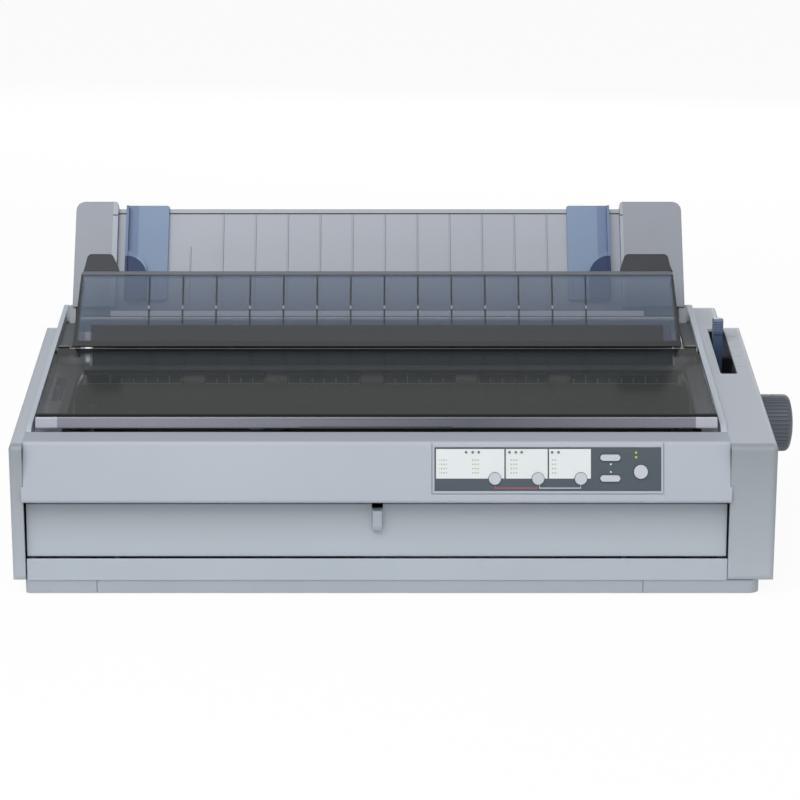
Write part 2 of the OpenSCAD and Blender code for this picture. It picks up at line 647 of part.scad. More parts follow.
// Sheet guide, drawn in its leaning frame from its pivots
ear_z = [10.7, guide_l];
ear_y = [-6, 3];
left_ear_x = [open_l + 5.5, open_l + 5.5 + left_ear_w];
right_ear_x = [open_r - 3.5 - right_ear_w, open_r - 3.5];
guide_plate_t = 2.5;
guide_plate_top = guide_l - 5;
guide_rib_x = open_mid - 135.8;
guide_rib_h = 0.8;
module ear(x, radii) difference() {
    skin = 2.2;
    sheet(ear_y) polygon(rounded([[x[0], ear_z[0]], [x[0], ear_z[1]], [x[1], ear_z[1]], [x[1], ear_z[0]]],
        [1, radii[0], radii[1], 1]));
    sheet([ear_y[0] + skin, ear_y[1] + eps]) polygon(rounded([[x[0] + skin, ear_z[0] + skin],
        [x[0] + skin, ear_z[1] - skin], [x[1] - skin, ear_z[1] - skin], [x[1] - skin, ear_z[0] + skin]],
        [1, max(radii[0] - skin, 0.5), max(radii[1] - skin, 0.5), 1]));
}
module sheet_guide() color([0.66, 0.68, 0.73]) at_body() leaning(guide_at, guide_tilt) {
    inner = [left_ear_x[1] - 1, right_ear_x[0] + 1];
    ear(left_ear_x, [8, 3]);
    ear(right_ear_x, [3, 8]);
    sheet([0, guide_plate_t]) polygon(corners(inner, [ear_z[0] - 1, guide_plate_top]));
    // Rolled upper bar and lower crossbar
    sheet([-guide_rib_h, 4]) polygon(corners(inner, [guide_plate_top - 4, guide_plate_top]));
    sheet([0, 5]) polygon(corners([left_ear_x[0], right_ear_x[1]], [5, ear_z[0] + 1]));
    for (i = [-1:10]) {
        x = guide_rib_x + (rib_pitch - 0.07) * i;
        sheet([-guide_rib_h, eps]) polygon(corners([x - 0.6, x + 0.6],
            [ear_z[0] + 2, i < 0 ? ear_z[1] * 0.63 : guide_plate_top - 5]));
    }
    // Hinge arms and their pins
    for (k = [[open_l + 3, open_l + 8.5, open_l - 1.6, open_l + 3.5],
              [open_r - 8.5, open_r - 2, open_r - 2.5, open_r + 1.6]]) {
        sheet([-4, 4]) polygon(rounded(corners([k[0], k[1]], [-4, 13]), [1, 1, 1, 1]));
        rod([k[2], k[3]], [0, 0], pin_r);
    }
}

// Edge guides hang on the upper bar of the sheet guide
edge_guide_z = [18, guide_plate_top + gap + 2];
edge_guide_y = [-guide_rib_h - gap - 2.3, -guide_rib_h - gap];
left_guide_x = left_ear_x[1] + 7.5;
right_guide_x = right_ear_x[0] - 9.5 - edge_guide_w;
foot_round = 19;
// Edge guide drawn from its outer edge inwards
module edge_guide() {
    z = edge_guide_z;
    difference() {
        sheet(edge_guide_y) polygon(rounded(corners([0, edge_guide_w], z), [2, 2, 2, 2]));
        // Sight slot over the paper's edge
        sheet(edge_guide_y + [-1, 1]) polygon(rounded(corners([edge_guide_w - 9, edge_guide_w - 6],
            [z[0] + 8, z[0] + 26]), [1.4, 1.4, 1.4, 1.4]));
    }
    // Hook over the bar
    sheet([edge_guide_y[1] - eps, 6.4]) polygon(corners([0, edge_guide_w], [z[1] - 2, z[1]]));
    sheet([4 + gap, 6.4]) polygon(corners([0, edge_guide_w], [z[1] - 12, z[1]]));
    // Fence along the paper and its rounded foot
    sheet([edge_guide_y[0] - 6, edge_guide_y[0] + eps]) polygon(corners([0, 2.2], [z[0], z[1] - 2]));
    sheet([edge_guide_y[0] - 4.6, edge_guide_y[0] + eps]) polygon(concat([[0, z[0]]],
        [for (a = [90:-9:0]) [foot_round * cos(a), z[0] + 25 + foot_round * sin(a)]], [[foot_round, z[0]]]));
}
module left_edge_guide() color([0.5, 0.6, 0.74]) at_body() leaning(guide_at, guide_tilt)
    translate([left_guide_x, 0, 0]) edge_guide();
module right_edge_guide() color([0.5, 0.6, 0.74]) at_body() leaning(guide_at, guide_tilt)
    translate([right_guide_x + edge_guide_w, 0, 0]) mirror([1, 0, 0]) edge_guide();

// Dark ledges beside the sheet cover
module side_ledges() color([0.36, 0.38, 0.4]) at_body() {
    y = [208, 261];
    for (x = [[open_l, open_l + 12], [open_r - 10, open_r]])
        slab(x) polygon([[y[0], deck(y[0]) - 6], [y[1], deck(y[1]) - 6], [y[1], deck(y[1]) - 3],
            [y[0], deck(y[0]) - 3]]);
}

// Side plates of the mechanism
module frame_plate(x) difference() {
    slab(x) polygon(rounded([[frame_y, tray_floor], [frame_y, 112], [124, 127], [150, 134], [206, 134],
        [222, 116], [240, 116], [256, 146], [286, 146], [298, 116], [frame_back - 10, 112], [frame_back, 100],
        [frame_back, tray_floor]], [0, 6, 8, 10, 8, 6, 6, 6, 6, 6, 8, 5, 0]));
    rod(x + [-1, 1], platen_at, platen_shaft_r + fit);
    rod(x + [-1, 1], tractor_at, tractor_shaft_r + fit);
    rod(x + [-1, 1], guide_rod_at, guide_rod_r + fit / 2);
    rod(x + [-1, 1], rod_at, carriage_rod_r + fit / 2);
    // Lightening holes
    for (at = [[140, 30], [240, 40], [300, 40]]) rod(x + [-1, 1], at, 11);
}
guide_rod_r = 4;
idler_axle_r = 4;
motor_shaft_r = 2.5;
module left_frame_plate() color([0.72, 0.73, 0.74]) at_body() {
    x = [plate_l - plate_t, plate_l];
    difference() {
        frame_plate(x);
        rod(x + [-1, 1], pinion_at, motor_shaft_r + 1);
    }
    rod([gear_x[0] - 1, x[0] + eps], idler_at, idler_axle_r);
}
module right_frame_plate() color([0.72, 0.73, 0.74]) at_body()
    frame_plate([plate_r, plate_r + plate_t]);

belt_y = 140;
pulley_x = [plate_l + 22, plate_r - 20];
belt_z = [40, 46];
tray_level = 38;
slide_top = 49.7;
carriage_z = [50, 74];
idler_pin_r = 3;
module mechanism_tray() color([0.2, 0.21, 0.22]) at_body() {
    front = 43;
    shelf = [116, 102];
    difference() {
        union() {
            slab([open_l, open_r]) polygon(rounded([[front, shelf[0]], [frame_y - 8, shelf[1]],
                [frame_y, shelf[1]], [frame_y, tray_level - 2], [frame_y - 3, tray_level - 2],
                [frame_y - 3, shelf[1] - 3], [frame_y - 8.4, shelf[1] - 3], [front, shelf[0] - 3]],
                [1, 4, 2, 0, 0, 0.5, 3, 1]));
            block([plate_l, plate_r], [frame_y - eps, 180], [tray_level - 2, tray_level]);
            block([plate_l, plate_r], [frame_y - eps, 114], [slide_top - 3, slide_top]);
        }
        post([pulley_x[0], belt_y], [30, 60], motor_shaft_r + 1.5);
    }
    post([pulley_x[1], belt_y], [tray_level - eps, belt_z[1] + 1], idler_pin_r);
}

// Ramp that carries a sheet from the guide down to the platen
module paper_ramp() color([0.33, 0.35, 0.37]) at_body() leaning(guide_at, guide_tilt) {
    z = [-76, -4];
    sheet([0, 3]) polygon(corners([plate_l, plate_r], z));
    for (i = [0:16]) {
        x = cover_rib_x - 28 + rib_pitch * i;
        sheet([-1.5, eps]) polygon(rounded(corners([x - 0.8, x + 0.8], z + [1, -1]), [0.3, 0.3, 0.3, 0.3]));
    }
}

// Platen with its shaft, gear and knob
module platen_roller() color([0.12, 0.12, 0.13]) at_body() difference() {
    rod([plate_l + 5, plate_r - 5], platen_at, platen_r);
    rod([plate_l, plate_r], platen_at, platen_shaft_r);
}
module platen_shaft() color([0.7, 0.71, 0.72]) at_body()
    rod([gear_x[0] - 2, knob_x[1] - 10], platen_at, platen_shaft_r);
module feed_gear(at, turned, bore) difference() {
    gear(feed_teeth, gear_x, at, turned);
    rod(gear_x + [-1, 1], at, bore);
    for (i = [0:4]) rod(gear_x + [-1, 1], at + feed_r * 0.58 * [cos(72 * i + 36), sin(72 * i + 36)], 6);
}
module platen_gear() color([0.86, 0.85, 0.8]) at_body() feed_gear(platen_at, 0, platen_shaft_r);
module feed_idler_gear() color([0.86, 0.85, 0.8]) at_body()
    feed_gear(idler_at, tooth_step / 2, idler_axle_r + fit);
module paper_feed_knob() color([0.27, 0.28, 0.3]) at_body() {
    ribs = 44;
    dome = 2.5;
    translate([knob_x[0], platen_at[0], platen_at[1]]) rotate([90, 0, 90]) difference() {
        intersection() {
            rotate_extrude() polygon(rounded([[0, 0], [knob_r - 1.5, 0], [knob_r, 3],
                [knob_r, knob_l - dome], [knob_r * 0.6, knob_l], [0, knob_l]], [0, 1, 2, 5, 8, 0]));
            linear_extrude(knob_l) polygon([for (i = [0:ribs - 1]) each [for (k = [[0, -0.8], [0.12, 0],
                [0.62, 0], [0.74, -0.8]]) (knob_r + k[1]) * [cos((i + k[0]) * 360 / ribs),
                sin((i + k[0]) * 360 / ribs)]]]);
        }
        translate([0, 0, -1]) cylinder(h = knob_l - 9, r = platen_shaft_r);
    }
}
module feed_motor() color([0.2, 0.2, 0.21]) at_body() difference() {
    union() {
        rod([plate_l, plate_l + 24], pinion_at, 17.4);
        rod([plate_l + 24 - eps, plate_l + 27], pinion_at, 11);
    }
    rod([plate_l - 1, plate_l + 21], pinion_at, motor_shaft_r + fit);
}
module feed_pinion() color([0.78, 0.66, 0.36]) at_body() {
    gear(pinion_teeth, gear_x, pinion_at, pinion_turn);
    rod([gear_x[0], plate_l + 20], pinion_at, motor_shaft_r);
}

// Tractors on their drive shaft and guide rod
tractor_w = 20;
tractor_x = [plate_l + 45, plate_r - 45];
cheek_w = 4;
tractor_z = [66, 95];
sprocket_r = 12;
sprocket_pins = 12;
flap_pin_at = [-2.7, 97];
module tractor_drive_shaft() color([0.7, 0.71, 0.72]) at_body() {
    rod([gear_x[1] - eps, plate_r + plate_t + 4], tractor_at, tractor_shaft_r);
    feed_gear(tractor_at, 0, 0.5);
}
module tractor_guide_rod() color([0.7, 0.71, 0.72]) at_body()
    rod([plate_l - plate_t, plate_r + plate_t], guide_rod_at, guide_rod_r);
// Each tractor is drawn from its outer cheek inwards
module at_tractor(i) at_body() translate([tractor_x[i], 0, 0]) mirror([i, 0, 0]) children();
module tractor() difference() {
    union() {
        for (x = [0, tractor_w - cheek_w]) slab([x, x + cheek_w]) polygon(rounded([[318, tractor_z[0]],
            [318, tractor_z[1]], [376, tractor_z[1]], [376, tractor_z[0]]], [14, 10, 6, 4]));
        slab([cheek_w - eps, tractor_w - cheek_w + eps]) polygon(rounded(
            [[353, tractor_z[0]], [353, tractor_z[1]], [376, tractor_z[1]], [376, tractor_z[0]]],
            [2, 2, 6, 4]));
        // Lugs and pin of the flap
        for (y = [318, 354]) block([flap_pin_at[0] - 2.6, eps], [y, y + 4], [88, 99.4]);
        translate([flap_pin_at[0], 318 + eps, flap_pin_at[1]]) rotate([-90, 0, 0])
            cylinder(h = 40 - 2 * eps, r = 1.4);
    }
    rod([-1, tractor_w + 1], tractor_at, tractor_shaft_r + fit);
    rod([-1, tractor_w + 1], guide_rod_at, guide_rod_r + fit);
}
module sprocket() difference() {
    x = [cheek_w + gap, tractor_w - cheek_w - gap];
    union() {
        rod(x, tractor_at, sprocket_r);
        for (i = [0:sprocket_pins - 1])
            translate([tractor_w / 2, tractor_at[0], tractor_at[1]]) rotate([360 / sprocket_pins * i, 0, 0])
                cylinder(h = sprocket_r + 2, r = 1.6);
    }
    rod([-1, tractor_w + 1], tractor_at, tractor_shaft_r + fit);
}
module tractor_flap() difference() {
    union() {
        translate([flap_pin_at[0], 322 + gap, flap_pin_at[1]]) rotate([-90, 0, 0])
            cylinder(h = 32 - 2 * gap, r = 2.5);
        block([flap_pin_at[0], tractor_w], [322 + gap, 354 - gap], [98.5, 100.8]);
    }
    translate([flap_pin_at[0], 300, flap_pin_at[1]]) rotate([-90, 0, 0]) cylinder(h = 80, r = 1.4 + fit);
    // Slot over the pins' path
    block([tractor_w / 2 - 2.2, tractor_w / 2 + 2.2], [327, 346], [90, 102]);
}
module left_tractor() color([0.16, 0.16, 0.17]) at_tractor(0) tractor();
module right_tractor() color([0.16, 0.16, 0.17]) at_tractor(1) tractor();
module left_sprocket() color([0.83, 0.82, 0.78]) at_tractor(0) sprocket();
module right_sprocket() color([0.83, 0.82, 0.78]) at_tractor(1) sprocket();
module left_tractor_flap() color([0.16, 0.16, 0.17]) at_tractor(0) tractor_flap();
module right_tractor_flap() color([0.16, 0.16, 0.17]) at_tractor(1) tractor_flap();

// Carriage with the print head and the ribbon cartridge
head_x = span(carriage_x, 22 * [-1, 1]);
nose_y = platen_at[0] - platen_r - 2;
module carriage_rod() color([0.74, 0.75, 0.77]) at_body()
    rod([plate_l - plate_t, plate_r + plate_t], rod_at, carriage_rod_r);
module carriage() color([0.17, 0.17, 0.18]) at_body() difference() {
    x = span(carriage_x, carriage_w / 2 * [-1, 1]);
    union() {
        slab(x) polygon(rounded([[116, carriage_z[0]], [116, 66], [124, carriage_z[1]],
            [176, carriage_z[1]], [176, carriage_z[0]]], [0, 4, 4, 4, 4]));
        block(span(carriage_x, [-24, 24]), [110.3, 116 + eps], [slide_top + gap, 57]);
        // Belt clamp
        block(span(carriage_x, [-10, 10]), [129, 134], [belt_z[1] + gap, carriage_z[0] + eps]);
    }
    rod(x + [-1, 1], rod_at, carriage_rod_r + fit);
}
module print_head() color([0.6, 0.61, 0.62]) at_body() {
    block(head_x, [144, nose_y - 10], [carriage_z[1], carriage_z[1] + 4]);
    block(head_x + [4, -4], [150, nose_y - 11], [carriage_z[1] + 4 - eps, 96]);
    for (i = [0:6]) block([head_x[0] + 1 + 6.6 * i, head_x[0] + 3 + 6.6 * i], [147, nose_y - 14],
        [carriage_z[1] + 4 - eps, 98]);
    slab(span(carriage_x, [-8, 8])) polygon(rounded([[nose_y - 12, 78], [nose_y - 12, 92], [nose_y, 87],
        [nose_y, 81]], [0, 0, 1, 1]));
}
module ribbon_cartridge() color([0.12, 0.12, 0.13]) at_body() {
    x = span(carriage_x, cartridge_w / 2 * [-1, 1]);
    difference() {
        union() {
            plan([84, 104]) polygon(rounded(corners(x, [111, 141]), [6, 6, 2, 2]));
            for (k = [[x[0], x[0] + 9], [x[1] - 9, x[1]]])
                plan([80, 93]) polygon(rounded(corners(k, [140, nose_y + 0.8]), [0, 0, 3, 3]));
            for (dx = [-30, 24]) block(span(carriage_x, [dx, dx + 6]), [124.5, 136], [carriage_z[1], 85]);
            // Ribbon between the arms
            block([x[0] + 8, x[1] - 8], [nose_y + 0.4, nose_y + 0.8], [80, 92]);
        }
        post(ribbon_knob_at, [95, 110], 3 + fit);
    }
}
ribbon_knob_at = [carriage_x + 38, 126];
module ribbon_knob() color([0.32, 0.45, 0.7]) at_body() {
    post(ribbon_knob_at, [96, 104 + gap + eps], 3);
    translate([ribbon_knob_at[0], ribbon_knob_at[1], 104 + gap]) linear_extrude(7)
        polygon([for (i = [0:23]) (i % 2 == 0 ? 9 : 8) * [cos(15 * i), sin(15 * i)]]);
}

// Belt drive of the carriage
belt_t = 1.2;
module carriage_motor() color([0.2, 0.2, 0.21]) at_body() difference() {
    post([pulley_x[0], belt_y], [tray_floor, tray_level - 2], 18.5);
    post([pulley_x[0], belt_y], [16, tray_level], motor_shaft_r + fit);
}
module pulley(x) {
    post([x, belt_y], [belt_z[0], belt_z[1]], pulley_r);
    post([x, belt_y], [belt_z[0] - 1.2, belt_z[0] - gap], pulley_r + 2);
    post([x, belt_y], [belt_z[0] - gap - eps, belt_z[0] + eps], pulley_r);
}
module belt_pulley() color([0.85, 0.84, 0.8]) at_body() {
    pulley(pulley_x[0]);
    post([pulley_x[0], belt_y], [18, belt_z[0]], motor_shaft_r);
}
module idler_pulley() color([0.85, 0.84, 0.8]) at_body() difference() {
    pulley(pulley_x[1]);
    post([pulley_x[1], belt_y], [30, 60], idler_pin_r + fit);
}
module belt_loop(r) {
    for (x = pulley_x) translate([x, belt_y]) circle(r);
    translate([pulley_x[0], belt_y - r]) square([pulley_x[1] - pulley_x[0], 2 * r]);
}
module drive_belt() color([0.15, 0.15, 0.15]) at_body() plan(belt_z) difference() {
    belt_loop(pulley_r + gap + belt_t);
    belt_loop(pulley_r + gap);
}

// Paper tension unit over the platen
tension_x = span(open_mid, [-154, -84.5, -4.3, 74.9, 153.3]);
tension_r = 6;
tension_shaft_r = 2.5;
tension_w = 17;
module tension_unit() color([0.25, 0.26, 0.27]) at_body() difference() {
    x = [plate_l, plate_r];
    union() {
        for (k = [[x[0], x[0] + 3], [x[1] - 3, x[1]]])
            slab(k) polygon(rounded([[181, 122], [181, 139], [199, 139], [226, 112], [212, 100]],
                [3, 1, 6, 4, 4]));
        block(x, [181, 197], [137, 139]);
        block(x, [184.2, 185.8], [126, 137 + eps]);
        // Graduation of the tear-off edge
        for (i = [0:46]) block(span(-238 + 10 * i, [-0.4, 0.4]), [183.8, 184.3], [127, i % 5 == 0 ? 134 : 131]);
    }
    for (c = tension_x) block(span(c, (tension_w / 2 + 1.5) * [-1, 1]), [180, 187], [120, 136]);
    rod(x + [-1, 1], tension_at, tension_shaft_r + fit);
}
module tension_rollers() color([0.5, 0.52, 0.54]) at_body() {
    rod([plate_l + 0.5, plate_r - 0.5], tension_at, tension_shaft_r);
    for (c = tension_x) rod(span(c, tension_w / 2 * [-1, 1]), tension_at, tension_r);
}

// Paper release lever with a grooved grip
module release_lever() color([0.23, 0.31, 0.44]) at_body() {
    y = lever_at[0];
    z = lever_at[1];
    difference() {
        union() {
            rod(lever_x, lever_at, 7);
            slab(lever_x) polygon(rounded([[y - 5, z], [y - 4, z + lever_l - 14], [y - 6, z + lever_l - 10],
                [y - 6, z + lever_l], [y + 5, z + lever_l], [y + 5, z]], [0, 4, 2, 2.5, 3, 0]));
        }
        for (i = [0:3]) block(lever_x + [-1, 1], [y - 7, y - 5.3],
            span(z + lever_l - 9.4 + 2.1 * i, [0, 0.9]));
    }
    rod([seam_r + gap, lever_x[0] + eps], lever_at, 5);
    rod([open_r + 1, seam_r + gap + eps], lever_at, lever_pin_r);
}
module gap_lever() color([0.32, 0.45, 0.7]) at_body() {
    x = [plate_l - 15.6, plate_l - 12.4];
    y = gap_lever_at[0];
    z = gap_lever_at[1];
    rod(x, gap_lever_at, 6);
    slab(x) polygon(rounded([[y - 4, z], [y - 3, z + 32], [y - 4, z + 38], [y + 4, z + 38],
        [y + 3, z + 32], [y + 4, z]], [0, 4, 2, 2, 4, 0]));
    rod([open_l - 1.7, x[0] + eps], gap_lever_at, lever_pin_r);
}

base_tray();
rubber_feet();
left_side_cover();
right_side_cover();
upper_housing();
front_fascia();
front_sill();
front_cover();
rear_panel();
control_panel();
status_leds();
left_round_button();
middle_round_button();
right_round_button();
lower_oblong_button();
upper_oblong_button();
large_round_button();
printer_cover();
cover_hinge_rod();
sheet_guide_cover();
cover_end_stops();
sheet_guide();
left_edge_guide();
right_edge_guide();
side_ledges();
left_frame_plate();
right_frame_plate();
mechanism_tray();
paper_ramp();
circuit_board();
power_supply();
power_inlet();
platen_roller();
platen_shaft();
platen_gear();
paper_feed_knob();
feed_motor();
feed_pinion();
feed_idler_gear();
tractor_drive_shaft();
tractor_guide_rod();
left_tractor();
right_tractor();
left_sprocket();
right_sprocket();
left_tractor_flap();
right_tractor_flap();
carriage_rod();
carriage();
print_head();
ribbon_cartridge();
ribbon_knob();
carriage_motor();
belt_pulley();
idler_pulley();
drive_belt();
tension_unit();
tension_rollers();
release_lever();
gap_lever();
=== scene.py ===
import math
import bpy
import numpy as np
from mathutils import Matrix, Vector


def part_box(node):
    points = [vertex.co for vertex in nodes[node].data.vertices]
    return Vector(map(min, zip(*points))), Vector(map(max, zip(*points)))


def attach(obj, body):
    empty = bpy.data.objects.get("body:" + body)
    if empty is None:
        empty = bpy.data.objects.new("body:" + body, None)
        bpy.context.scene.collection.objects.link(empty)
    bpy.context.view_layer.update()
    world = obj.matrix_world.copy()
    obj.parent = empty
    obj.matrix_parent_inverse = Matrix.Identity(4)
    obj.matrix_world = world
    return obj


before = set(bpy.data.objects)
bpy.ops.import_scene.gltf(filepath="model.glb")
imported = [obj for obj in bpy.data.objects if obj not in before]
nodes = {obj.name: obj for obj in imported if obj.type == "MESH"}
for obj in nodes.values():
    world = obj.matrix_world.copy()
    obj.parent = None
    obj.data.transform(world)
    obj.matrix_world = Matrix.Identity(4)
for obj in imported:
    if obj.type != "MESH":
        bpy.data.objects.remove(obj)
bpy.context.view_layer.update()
print("frame loaded,", len(nodes), "nodes")

# noise that several finishes share: waves per metre, and how many finer layers lie on them
patterns = {"cloud": (9.0, 3.0), "wear": (38.0, 4.0), "mottle": (20.0, 2.0), "ripple": (30.0, 2.0),
            "dust": (60.0, 4.0)}
grain = {"layers": 3.0, "harshness": 0.6, "depth": 0.00012, "edgeSamples": 4}


# screen colour to light: ((c + 0.055) / 1.055) to the power 2.4, or c / 12.92 where c is small
def linear(hexColour):
    parts = [int(hexColour[i:i + 2], 16) / 255 for i in (1, 3, 5)]
    return tuple(c / 12.92 if c < 0.04045 else ((c + 0.055) / 1.055) ** 2.4 for c in parts) + (1.0,)


# a colour times a share, no lighter than white
def scaled(colour, share):
    return tuple(min(1.0, c * share) for c in colour[:3]) + (1.0,)


# a socket that takes part in sums, so that a formula adds its own Math nodes
class Value:
    def __init__(self, finish, socket):
        self.finish = finish
        self.socket = socket

    def maths(self, kind, a, b=0.0):
        return self.finish.node("ShaderNodeMath", {"operation": kind}, {0: a, 1: b})

    def atLeast(self, least):
        return self.maths("MAXIMUM", self, least)

    def __add__(self, other):
        return self.maths("ADD", self, other)

    def __radd__(self, other):
        return self.maths("ADD", other, self)

    def __sub__(self, other):
        return self.maths("SUBTRACT", self, other)

    def __rsub__(self, other):
        return self.maths("SUBTRACT", other, self)

    def __mul__(self, other):
        return self.maths("MULTIPLY", self, other)

    def __rmul__(self, other):
        return self.maths("MULTIPLY", other, self)

    def __truediv__(self, other):
        return self.maths("DIVIDE", self, other)

    def __mod__(self, other):
        return self.maths("FLOORED_MODULO", self, other)

    def __abs__(self):
        return self.maths("ABSOLUTE", self)

    # comparisons give masks: 1 where they hold and 0 elsewhere
    def __gt__(self, other):
        return self.maths("GREATER_THAN", self, other)

    def __lt__(self, other):
        return self.maths("LESS_THAN", self, other)


# one material, or the world, with its nodes; x, y and z are the place on the object in metres
class Finish:
    def __init__(self, name, kind="Material"):
        self.owner = {"Material": bpy.data.materials, "World": bpy.data.worlds}[kind].new(name)
        self.owner.use_nodes = True
        self.tree = self.owner.node_tree
        self.tree.nodes.clear()
        self.output = self.tree.nodes.new("ShaderNodeOutput" + kind)
        self.place = self.node("ShaderNodeTexCoord", {}, {}, "Object")
        split = self.node("ShaderNodeSeparateXYZ", {}, {0: self.place}).socket.node
        self.x, self.y, self.z = (Value(self, socket) for socket in split.outputs)

    # settings go first, because an operation or a data type can change the sockets
    def node(self, kind, settings, inputs, out=0):
        made = self.tree.nodes.new(kind)
        for key, value in settings.items():
            setattr(made, key, value)
        for key, value in inputs.items():
            if isinstance(value, Value):
                self.tree.links.new(value.socket, made.inputs[key])
            else:
                made.inputs[key].default_value = value
        return Value(self, made.outputs[out])

    def noise(self, scale, layers=2.0, harshness=0.5):
        inputs = {"Vector": self.place, "Scale": scale, "Detail": layers, "Roughness": harshness}
        return self.node("ShaderNodeTexNoise", {}, inputs, "Fac")

    def pattern(self, kind):
        return self.noise(*patterns[kind])

    # sockets 6 and 7 are the node's two colours, and output 2 is the mixed one
    def mixed(self, factor, a, b):
        return self.node("ShaderNodeMix", {"data_type": "RGBA"}, {0: factor, 6: a, 7: b}, 2)

    # first before start, last past end, and a straight line between them
    def ramp(self, value, start, end, first=0.0, last=1.0):
        return self.node("ShaderNodeMapRange", {}, {0: value, 1: start, 2: end, 3: first, 4: last})

    def easedEdge(self, radius):
        return self.node("ShaderNodeBevel", {"samples": grain["edgeSamples"]}, {"Radius": radius})

    # eased edges with a fine grain laid on them, in waves per metre; an edge of 0 stays sharp
    def grained(self, edge, waves, strength):
        height = self.noise(waves, grain["layers"], grain["harshness"])
        inputs = {"Height": height, "Strength": strength, "Distance": grain["depth"]}
        if edge:
            inputs["Normal"] = self.easedEdge(edge)
        return self.node("ShaderNodeBump", {}, inputs)

    # the last shader goes to the output, and the finished material or world comes back
    def closedWith(self, shader):
        self.tree.links.new(shader.socket, self.output.inputs["Surface"])
        return self.owner

    def surface(self, colour, rough, normal, others=None):
        inputs = {"Base Color": colour, "Roughness": rough, "Normal": normal, **(others or {})}
        return self.closedWith(self.node("ShaderNodeBsdfPrincipled", {}, inputs))


# a new object that is put into the scene
def placed(name, data):
    made = bpy.data.objects.new(name, data)
    bpy.context.scene.collection.objects.link(made)
    return made


# middle, plus the spread times how far a noise is from its own middle of one half
def wander(middle, spread, noise):
    return middle + spread * (noise - 0.5)


moulded = {"rough": 0.48, "roughSpread": 0.12, "edge": 0.0009, "waves": 2600.0, "strength": 0.22}
smallMoulded = {"rough": 0.4, "roughSpread": 0.08, "edge": 0.0005, "waves": 2600.0, "strength": 0.15}


# a finish of worn moulded plastic in the tone it is given
def plasticSurface(f, tone, kind, others=None):
    rough = wander(kind["rough"], kind["roughSpread"], f.pattern("wear"))
    return f.surface(tone, rough, f.grained(kind["edge"], kind["waves"], kind["strength"]), others)


# one colour that drifts a little to either side
def mouldedPlastic(name, colour, drift=0.05, **changes):
    f = Finish(name)
    base = linear(colour)
    tone = f.mixed(f.pattern("cloud"), scaled(base, 1 - drift), scaled(base, 1 + drift))
    return plasticSurface(f, tone, {**moulded, **changes})


brushed = {"along": 40.0, "across": 2600.0, "layers": 3.0, "deep": 0.86, "roughSpread": 0.14,
           "grain": (0.0004, 1800.0, 0.06)}


# noise drawn out along x: many waves across the streaks and few along them
def brushedMetal(name, colour, rough):
    f = Finish(name)
    scale = (brushed["along"], brushed["across"], brushed["across"])
    stretched = f.node("ShaderNodeMapping", {}, {"Vector": f.place, "Scale": scale})
    inputs = {"Vector": stretched, "Scale": 1.0, "Detail": brushed["layers"]}
    streaks = f.node("ShaderNodeTexNoise", {}, inputs, "Fac")
    tone = f.mixed(streaks, scaled(linear(colour), brushed["deep"]), linear(colour))
    return f.surface(tone, wander(rough, brushed["roughSpread"], streaks), f.grained(*brushed["grain"]),
                     {"Metallic": 1.0})


dusty = {"tone": "#5a5b5e", "most": 0.35, "roughSpread": 0.1, "grain": (0.0003, 3200.0, 0.35)}


# dark rubber with dust on it
def rubber(name, colour, rough=0.72):
    f = Finish(name)
    dust = f.pattern("dust")
    tone = f.mixed(dust * dusty["most"], linear(colour), linear(dusty["tone"]))
    return f.surface(tone, wander(rough, dusty["roughSpread"], dust), f.grained(*dusty["grain"]))


housingGrey = mouldedPlastic("housingGrey", "#b0b8c2")
baseGrey = mouldedPlastic("baseGrey", "#a3aab3")
darkStop = mouldedPlastic("darkStop", "#20242b", rough=0.55)
ledgeDark = mouldedPlastic("ledgeDark", "#595d5f", rough=0.5)
knobDark = mouldedPlastic("knobDark", "#595f68", rough=0.46, edge=0.0004)
mechDark = mouldedPlastic("mechDark", "#26282b", rough=0.5)
mechBlack = mouldedPlastic("mechBlack", "#1d1e20", rough=0.42)
paleBlue = mouldedPlastic("paleBlue", "#8a9fc0", rough=0.4, edge=0.0005)
buttonGrey = mouldedPlastic("buttonGrey", "#b9bec5", rough=0.36, edge=0.0005, drift=0.02)
gearNatural = mouldedPlastic("gearNatural", "#d8d5c6", rough=0.4, edge=0.0)
motorBlack = mouldedPlastic("motorBlack", "#24252a", rough=0.35)
platenRubber = rubber("platenRubber", "#1f2022")
# pale rollers, lightened as painted light against the shade they sit in under the cover
rollerRubberLightened = rubber("rollerRubberLightened", "#dcdedc", 0.6)
footRubber = rubber("footRubber", "#202124")
groundSteel = brushedMetal("groundSteel", "#c8cacd", 0.2)
platedSteel = brushedMetal("platedSteel", "#b4b7b8", 0.36)
castAluminium = brushedMetal("castAluminium", "#a9abad", 0.5)
cutBrass = brushedMetal("cutBrass", "#c9a65c", 0.3)
print("plain finishes made")

# heights and depths in metres; each grey runs from its low tone to its high one as painted shade, the column
# fronts darker higher up and lighter near the floor, the door darker under the fascia's overhang
columnShade = {"low": "#aab1b9", "high": "#8f969c", "from": 0.02, "to": 0.115,
           "backFrom": -0.19, "back": "#abb1ba"}
# painted shade on the door: darker towards its top, under the fascia's overhang
doorShade = {"low": "#aeb6be", "high": "#949ca3", "from": 0.04, "to": 0.076}
shadeCloud = {"tone": "#8d949b", "most": 0.12}


# a grey with painted shade that shifts with height; past the depth backFrom it has one tone of its own
def paintedShadePlastic(name, shade):
    f = Finish(name)
    tone = f.mixed(f.ramp(f.z, shade["from"], shade["to"]), linear(shade["low"]), linear(shade["high"]))
    if "back" in shade:
        tone = f.mixed(f.y > shade["backFrom"], tone, linear(shade["back"]))
    tone = f.mixed(f.pattern("cloud") * shadeCloud["most"], tone, linear(shadeCloud["tone"]))
    return plasticSurface(f, tone, moulded)


